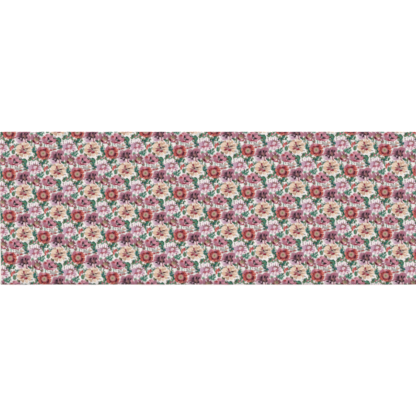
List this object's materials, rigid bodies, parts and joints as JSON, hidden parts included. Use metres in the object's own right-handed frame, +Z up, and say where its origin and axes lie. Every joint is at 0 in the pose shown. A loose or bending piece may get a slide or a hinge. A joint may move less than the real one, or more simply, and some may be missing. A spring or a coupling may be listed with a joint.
{
  "type": "fabric bolt",
  "caption": "Flat bolt of printed dress cotton, wound full width on a folding board, with a top lap that unrolls and hinged end flaps.",
  "frame": {"origin": "middle of the underside, on the surface that the bolt lies on", "axes": "+X across the cloth from selvedge to selvedge, +Y from the front edge with the cloth's cut end to the back edge, +Z up"},
  "size_m": [1.4278, 0.5, 0.0428],
  "materials": {
    "printed_cotton": "plain-weave cotton with an all-over flower print",
    "kraft_board": "corrugated kraft board",
    "paper_tape": "gummed kraft paper tape",
    "masking_tape": "creped masking tape",
    "label_paper": "smooth self-adhesive paper"
  },
  "bodies": {
    "bolt": {"wound_cloth": "printed_cotton", "board_wrap": "kraft_board", "stiffener_front": "kraft_board", "stiffener_back": "kraft_board", "seam_tape": "paper_tape", "start_tape_left": "masking_tape", "start_tape_middle": "masking_tape", "start_tape_right": "masking_tape"},
    "strip": {"back_strip": "printed_cotton"},
    "lap": {"free_lap": "printed_cotton"},
    "flap_left": {"end_flap_left": "kraft_board", "tally_label": "label_paper"},
    "flap_right": {"end_flap_right": "kraft_board", "end_label": "label_paper"}
  },
  "joints": [
    {"name": "strip_unroll", "type": "hinge", "parent": "bolt", "child": "strip", "pos_m": [0, 0.24785, 0.00215], "axis": [-1, 0, 0], "range_deg": [0, 90]},
    {"name": "lap_unroll", "type": "hinge", "parent": "strip", "child": "lap", "pos_m": [0, 0.24785, 0.04065], "axis": [-1, 0, 0], "range_deg": [0, 90]},
    {"name": "flap_left_swing", "type": "hinge", "parent": "bolt", "child": "flap_left", "pos_m": [-0.7103, 0, 0.0319], "axis": [0, 1, 0], "range_deg": [0, 120]},
    {"name": "flap_right_swing", "type": "hinge", "parent": "bolt", "child": "flap_right", "pos_m": [0.7103, 0, 0.0319], "axis": [0, -1, 0], "range_deg": [0, 120]}
  ],
  "couplings": [
    {"joint": "strip_unroll", "follows": "lap_unroll", "ratio": 1}
  ]
}
